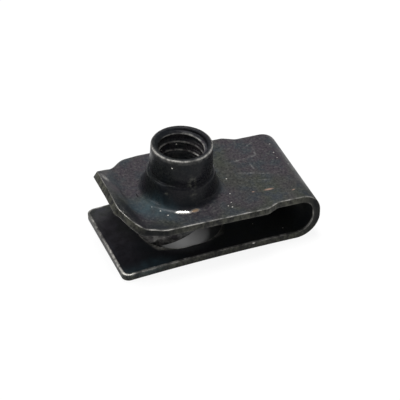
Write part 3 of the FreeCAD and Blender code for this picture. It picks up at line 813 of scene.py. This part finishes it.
# Rubbed edges, broken up by the grain
worn_through = calc("MULTIPLY", edge, fade(cloud(0.9, detail=5.0), 0.38, 0.66, 0.15, 1.0))
worn_through = calc("MULTIPLY", worn_through, fade(grain, 0.3, 0.6, 0.5, 1.0), clamp=True)
# Nicks: small dots in a few of the cells of a scattered pattern
cells_at = step("ShaderNodeTexVoronoi", {"Vector": place, "Scale": 0.9 / MM, "Randomness": 1.0})
draw = step("ShaderNodeSeparateColor", {0: cells_at.outputs["Color"]}).outputs[0]
picked = fade(draw, 0.90, 0.93)
nick = calc("MULTIPLY", picked, fade(cells_at.outputs["Distance"], 0.05, 0.11, 1.0, 0.0))


def scar(centre, half_length, half_width, heading=0.0, softness=0.5):
    """A mark at a place in millimetres: 1 inside an ellipse that is turned in plan, fading to 0."""
    middle = tuple(MM * part for part in centre)
    off = step("ShaderNodeVectorMath", {0: place, 1: middle}, operation="SUBTRACT").outputs[0]
    twist = {"Vector": off, "Angle": -heading}
    turned = step("ShaderNodeVectorRotate", twist, rotation_type="Z_AXIS").outputs[0]
    size = (1 / (half_length * MM), 1 / (half_width * MM), 1 / (half_width * MM))
    scaled = step("ShaderNodeVectorMath", {0: turned, 1: size}, operation="MULTIPLY").outputs[0]
    away = step("ShaderNodeVectorMath", {0: scaled}, operation="LENGTH").outputs["Value"]
    return fade(away, 1 - softness, 1 + softness, 1.0, 0.0)


def most(marks):
    """The strongest of several marks."""
    strongest = marks[0]
    for mark in marks[1:]:
        strongest = calc("MAXIMUM", strongest, mark)
    return strongest


# Dents that went through the film: centre, half length, half width, heading
dents = most([scar(*dent) for dent in (
    ((-7.28, -4.0, 7.37), 0.09, 0.09, 0.0),
    ((-7.41, -2.44, 7.37), 0.07, 0.07, 0.0),
    ((-8.0, -2.9, 7.39), 0.05, 0.05, 0.0),
    ((3.14, -0.48, 6.91), 0.09, 0.08, 0.6),
    ((2.38, -3.52, 6.95), 0.08, 0.06, 1.2),
    ((1.84, -5.26, 6.97), 0.07, 0.06, 0.3),
    ((1.21, -5.79, 7.0), 0.06, 0.06, 0.0),
    ((1.62, -6.16, 6.98), 0.09, 0.07, 0.2),
    ((-5.33, -3.12, 12.92), 0.09, 0.09, 0.0),
    ((4.2, -7.15, 1.1), 0.18, 0.14, 0.0),
    ((11.51, 4.8, 6.55), 0.16, 0.10, 0.4),
    ((11.18, 2.84, 6.56), 0.10, 0.07, 0.4),
    ((11.15, 1.64, 6.56), 0.07, 0.06, 1.0),
    ((11.6, 1.37, 6.54), 0.07, 0.06, 0.0),
    ((-13.4, -4.7, 0.95), 0.3, 0.2, 1.57),
)])
# Broad light scratches, and a few with a rusty tone
scratches = most([scar(*scratch, softness=0.9) for scratch in (
    ((6.24, -0.26, 6.78), 1.1, 0.17, -0.30),
    ((8.30, -1.0, 6.68), 0.8, 0.12, -0.37),
    ((6.01, 2.69, 6.79), 1.1, 0.14, 0.09),
    ((7.99, 2.95, 6.70), 0.8, 0.14, 0.18),
    ((8.81, 3.75, 6.67), 0.7, 0.13, -1.71),
    ((7.30, 0.90, 6.73), 0.7, 0.12, -1.5),
    ((8.72, 5.49, 6.67), 0.7, 0.09, 0.47),
    ((7.75, -2.23, 6.71), 0.6, 0.11, -0.33),
)])
rusty = most([scar(*spot, softness=0.7) for spot in (
    ((7.45, -4.26, 6.73), 0.55, 0.15, -0.01),
    ((5.34, -4.12, 6.82), 0.15, 0.09, -0.10),
    ((10.41, -5.35, 6.60), 0.22, 0.07, 0.23),
)])
scratches = calc("MULTIPLY", scratches, fade(cloud(2.5), 0.38, 0.62, 0.1, 1.0))
# Painted highlights: pale blobs on the barrel's cone and a pale streak on its front
painted_barrel_highlights = most([scar(*blob, softness=0.8) for blob in (
    ((-6.19, -3.29, 9.19), 0.35, 0.18, -0.5),
    ((-7.55, -2.2, 8.9), 0.3, 0.15, -0.9),
    ((-3.0, -4.35, 10.2), 0.45, 1.3, 0.0),
)])
painted_barrel_highlights = calc("MULTIPLY", painted_barrel_highlights, fade(cloud(1.5, detail=5.0), 0.38, 0.66))
# Painted shade in bands: two inside the lip's edge, one on the nose's cut edge, one on the fold's
# end
painted_shade_bands = most([scar(*band, softness=0.6) for band in (
    ((-11.6, -2.9, 8.0), 3.6, 0.75, -1.3),
    ((-11.1, 1.6, 7.7), 2.4, 0.35, -1.45),
    ((-9.6, -7.1, 6.7), 3.4, 1.3, -0.35),
    ((13.2, -7.2, 3.6), 2.6, 3.2, 0.0),
)])
# Painted sheen: lighter blue-green patches round the barrel's front-left foot and on the lower
# leg's front corner
painted_sheen = most([
    scar((-8.0, -3.2, 7.4), 2.8, 1.6, -0.75, softness=0.75),
    scar((-9.9, -6.4, 1.05), 2.8, 1.0, 0.0, softness=0.7),
])
painted_sheen = calc("MULTIPLY", painted_sheen, fade(cloud(0.8, detail=3.0), 0.3, 0.7, 0.35, 1.0))
film = tinted(calc("MULTIPLY", painted_sheen, 0.8), film, SHEEN_BLUE)
# Painted shade in the bands: the film is darker there
film = tinted(calc("MULTIPLY", painted_shade_bands, 0.78), film, DEEP_BLACK)
# Painted reflection: lighter patches on the lower leg's toe, which lies in the upper leg's shadow
painted_toe_reflection = scar((-11.6, 0.3, 1.0), 5.2, 1.7, math.pi / 2, softness=0.8)
painted_toe_reflection = calc("MULTIPLY", painted_toe_reflection, fade(cloud(0.9), 0.3, 0.7, 0.1, 0.6))
film = tinted(painted_toe_reflection, film, TOE_REFLECTION_GREY)
film = tinted(calc("MULTIPLY", scratches, 0.45), film, SCRATCH_GREY)
# Painted highlights on the barrel
film = tinted(calc("MULTIPLY", painted_barrel_highlights, 0.5), film, BARREL_HIGHLIGHT_GREY)
film = tinted(calc("MULTIPLY", rusty, 0.6), film, RUST)
# Painted highlights: a bright crescent on the barrel's foot in front, with a beige glare at its
# end, and a bright patch on the lip's back end
painted_foot_highlight = scar((-4.72, -5.28, 7.28), 0.95, 0.24, -0.33, softness=0.3)
painted_foot_glare = scar((-3.15, -5.42, 7.2), 0.55, 0.24, 0.1, softness=0.5)
painted_lip_highlight = scar((-12.35, 3.3, 8.75), 0.7, 0.4, -0.9, softness=0.8)
painted_lip_highlight = calc("MULTIPLY", painted_lip_highlight, fade(grain, 0.38, 0.6, 0.1, 0.6))
painted_foot_light = [calc("MULTIPLY", painted_foot_highlight, 0.75), calc("MULTIPLY", painted_foot_glare, 0.35)]
# Bare steel where the film is worn through, nicked or dented, and the painted highlights
bare_and_highlights = most([worn_through, nick, dents, painted_lip_highlight, *painted_foot_light])
metal_and_glare = tinted(painted_foot_glare, STEEL_AND_HIGHLIGHT_GREY, GLARE_BEIGE)
colour = tinted(bare_and_highlights, film, metal_and_glare)
# Smoother where it was stretched and under the painted foot highlight, rougher in the painted shade
# bands and on the rim
roughness = fade(patchy, 0.3, 0.7, 0.34, 0.48)
roughness = calc("SUBTRACT", roughness, fade(drawn, 0.1, 0.4, 0.0, 0.13))
roughness = calc("SUBTRACT", roughness, calc("MULTIPLY", calc("MAXIMUM", painted_foot_highlight, painted_foot_glare), 0.12))
roughness = calc("ADD", roughness, fade(grain, 0.3, 0.8, -0.03, 0.06))
roughness = calc("ADD", roughness, calc("MULTIPLY", painted_shade_bands, 0.25))
roughness = calc("ADD", roughness, fade(place_z, 13.3 * MM, 13.6 * MM, 0.0, 0.22))
roughness = calc("ADD", roughness, calc("MULTIPLY", worn_through, 0.06), clamp=True)
bumps = step("ShaderNodeBump", {
    "Strength": 0.2,
    "Distance": 0.02 * MM,
    "Height": calc("ADD", grain, patchy),
})
shader = step("ShaderNodeBsdfPrincipled", {
    "Base Color": colour,
    "Metallic": calc("MULTIPLY", bare_and_highlights, 0.9, clamp=True),
    "Roughness": roughness,
    "Normal": bumps.outputs[0],
})
shader.inputs["Specular IOR Level"].default_value = 0.12
step("ShaderNodeOutputMaterial", {"Surface": shader.outputs[0]})
mesh.materials.append(steel)

# The table. The nut lies on plain white paper, which the photograph shows as white
# with hardly a shadow, so the camera and reflections see most of it as bright of
# itself. Under the lower leg's hole the paper is painted grey as shade, without its own light.
TABLE_SIDE = 3.0
SHADED_WITHIN = 6.0 * MM
LIT_BEYOND = 6.6 * MM
LIT_SHARE = 0.9
PAINTED_SHADE_GREY = 0.11
PAPER_WHITE = 0.9
bpy.ops.mesh.primitive_plane_add(size=TABLE_SIDE, location=(0, 0, 0))
floor = bpy.context.object
floor.name = "table_top"
paper = bpy.data.materials.new("white_paper")
paper.use_nodes = True
tree = paper.node_tree
tree.nodes.clear()
hole_place = ((HOLE_MIDDLE - MIDDLE_X) * MM, 0, 0)
spot = step("ShaderNodeTexCoord").outputs["Object"]
off = step("ShaderNodeVectorMath", {0: spot, 1: hole_place}, operation="SUBTRACT").outputs[0]
away = step("ShaderNodeVectorMath", {0: off}, operation="LENGTH").outputs["Value"]
# Painted shade: within the hole's reach the paper has no light of its own and a grey colour
lit = fade(away, SHADED_WITHIN, LIT_BEYOND, 0.0, LIT_SHARE)
grey = step("ShaderNodeMapRange", {
    "Value": lit,
    "From Min": 0.0,
    "From Max": LIT_SHARE,
    "To Min": PAINTED_SHADE_GREY,
    "To Max": PAPER_WHITE,
})
rays = step("ShaderNodeLightPath").outputs
mirrored = calc("ADD", rays["Is Glossy Ray"], rays["Is Transmission Ray"])
seen = calc("ADD", rays["Is Camera Ray"], mirrored, clamp=True)
both = step("ShaderNodeMixShader", {
    0: calc("MULTIPLY", seen, lit),
    1: step("ShaderNodeBsdfDiffuse", {"Color": grey.outputs["Result"]}).outputs[0],
    2: step("ShaderNodeEmission").outputs[0],
})
step("ShaderNodeOutputMaterial", {"Surface": both.outputs[0]})
floor.data.materials.append(paper)

# The lamps. The nut is lit as for a shop's picture: a softbox overhead and a little
# behind it, a weak one in front and a small one on its left. The room is dim and
# nearly neutral.
ROOM_GREY = (0.75, 0.76, 0.78, 1)
ROOM_STRENGTH = 0.3
world = bpy.data.worlds.new("studio")
bpy.context.scene.world = world
world.use_nodes = True
room = world.node_tree.nodes["Background"]
room.inputs["Color"].default_value = ROOM_GREY
room.inputs["Strength"].default_value = ROOM_STRENGTH


def softbox(name, spot, aim, width, height, power):
    """A rectangular lamp of so many watts at a place, turned to face another."""
    lamp = bpy.data.lights.new(name, "AREA")
    lamp.shape = "RECTANGLE"
    lamp.size = width
    lamp.size_y = height
    lamp.energy = power
    holder = bpy.data.objects.new(name, lamp)
    bpy.context.collection.objects.link(holder)
    holder.location = spot
    holder.rotation_euler = (Vector(aim) - Vector(spot)).to_track_quat("-Z", "Y").to_euler()


softbox("ceiling", (0.03, 0.08, 0.45), (0, 0, 0), 0.17, 0.17, 2.55)
softbox("front", (-0.04, -0.30, 0.36), (0, 0, 0), 0.32, 0.28, 0.08)
softbox("left", (-0.30, 0.05, 0.30), (0, 0, 0.005), 0.16, 0.16, 0.42)

# The camera. It stands in front of the nut and to its left, 28 cm away, and looks
# down on it. Its place and lens were fitted to the nut's outline in the photograph.
azimuth, elevation, distance = math.radians(-21.8747), math.radians(38.5519), 281.24 * MM
target = Vector((-0.3166, -0.0029, 4.11)) * MM
back = Vector((
    math.sin(azimuth) * math.cos(elevation),
    -math.cos(azimuth) * math.cos(elevation),
    math.sin(elevation),
))
right = Vector((math.cos(azimuth), math.sin(azimuth), 0))
up = back.cross(right)
lens = bpy.data.cameras.new("camera")
lens.lens = 196.5155
lens.sensor_width = 36
lens.clip_start = 0.01
lens.clip_end = 10
camera = bpy.data.objects.new("camera", lens)
bpy.context.collection.objects.link(camera)
facing = Matrix((right, up, back)).transposed().to_4x4()
camera.matrix_world = Matrix.Translation(target + back * distance) @ facing
bpy.context.scene.camera = camera
bpy.context.scene.view_settings.view_transform = "Standard"
